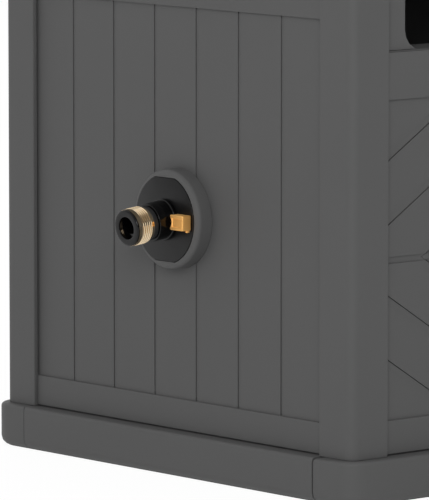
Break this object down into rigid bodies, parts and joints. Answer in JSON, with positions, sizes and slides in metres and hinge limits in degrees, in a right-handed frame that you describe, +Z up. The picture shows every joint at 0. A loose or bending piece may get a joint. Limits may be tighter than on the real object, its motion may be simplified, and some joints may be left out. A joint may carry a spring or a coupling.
{
  "type": "garden hose reel cabinet",
  "caption": "Panelled resin cabinet with a hinged lid and a crank-wound hose drum inside, a sliding hose guide behind the front window and a threaded water inlet on the side.",
  "frame": {"origin": "on the floor under the middle of the cabinet", "axes": "+Z up, +X from the inlet side towards the crank side along the drum's axis, -Y towards the front with the hose window"},
  "size_m": [0.7182, 0.4026, 0.4703],
  "materials": {
    "resin_grey": "dark grey moulded resin, finely matt",
    "resin_black": "black moulded resin with a soft sheen",
    "drum_black": "black moulded resin",
    "brass": "bright turned brass",
    "yellow_brass": "warm yellow brass with a satin face",
    "steel": "zinc plated steel",
    "rubber": "black rubber"
  },
  "bodies": {
    "cabinet": {"front_skirt": "resin_grey", "rear_skirt": "resin_grey", "left_skirt": "resin_grey", "right_skirt": "resin_grey", "floor_tray": "resin_grey", "front_left_post": "resin_grey", "front_right_post": "resin_grey", "rear_left_post": "resin_grey", "rear_right_post": "resin_grey", "left_panel": "resin_grey", "right_panel": "resin_grey", "front_panel": "resin_grey", "rear_panel": "resin_grey", "window_frame": "resin_grey", "left_hinge_bracket": "resin_black", "right_hinge_bracket": "resin_black", "left_hinge_pin": "steel", "right_hinge_pin": "steel", "left_bearing": "resin_black", "right_bearing": "resin_black", "inlet_bezel": "resin_grey", "crank_bezel": "resin_grey", "inlet_plate": "resin_black", "crank_plate": "resin_black", "retaining_clip": "yellow_brass", "in_tube": "resin_black", "inlet_collar": "resin_black", "thread_sleeve": "brass", "sealing_nose": "resin_black", "outer_o_ring": "rubber", "inner_o_ring": "rubber", "left_guide_bracket": "resin_black", "right_guide_bracket": "resin_black", "lower_guide_rod": "steel", "upper_guide_rod": "steel"},
    "lid": {"lid": "resin_grey", "left_lid_hinge": "resin_black", "right_lid_hinge": "resin_black"},
    "reel": {"left_flange": "drum_black", "right_flange": "drum_black", "drum_core": "drum_black", "outlet_elbow": "resin_black", "hose_connector": "brass", "crank_shaft": "steel", "crank_arm": "resin_black", "crank_bolt": "steel", "grip_pin": "steel"},
    "handle": {"crank_grip": "resin_black"},
    "guide": {"guide_carriage": "resin_black", "left_guide_roller_pin": "steel", "right_guide_roller_pin": "steel", "lower_guide_roller_pin": "steel", "upper_guide_roller_pin": "steel"},
    "left_roller": {"left_guide_roller": "drum_black"},
    "right_roller": {"right_guide_roller": "drum_black"},
    "lower_roller": {"lower_guide_roller": "drum_black"},
    "upper_roller": {"upper_guide_roller": "drum_black"}
  },
  "joints": [
    {"name": "lid_hinge", "type": "hinge", "parent": "cabinet", "child": "lid", "pos_m": [0, 0.1991, 0.42415], "axis": [-1, 0, 0], "range_deg": [0, 95]},
    {"name": "reel_turn", "type": "hinge", "parent": "cabinet", "child": "reel", "pos_m": [0, -0.0021, 0.1838], "axis": [1, 0, 0], "continuous": true},
    {"name": "handle_turn", "type": "hinge", "parent": "reel", "child": "handle", "pos_m": [0.3065, -0.0021, 0.0658], "axis": [1, 0, 0], "continuous": true},
    {"name": "guide_slide", "type": "slide", "parent": "cabinet", "child": "guide", "axis": [1, 0, 0], "range_m": [-0.185, 0.185]},
    {"name": "left_roller_turn", "type": "hinge", "parent": "guide", "child": "left_roller", "pos_m": [-0.0184, -0.1465, 0.35525], "axis": [0, 0, 1], "continuous": true},
    {"name": "right_roller_turn", "type": "hinge", "parent": "guide", "child": "right_roller", "pos_m": [0.0184, -0.1465, 0.35525], "axis": [0, 0, 1], "continuous": true},
    {"name": "lower_roller_turn", "type": "hinge", "parent": "guide", "child": "lower_roller", "pos_m": [0, -0.1325, 0.33685], "axis": [1, 0, 0], "continuous": true},
    {"name": "upper_roller_turn", "type": "hinge", "parent": "guide", "child": "upper_roller", "pos_m": [0, -0.1325, 0.37365], "axis": [1, 0, 0], "continuous": true}
  ]
}
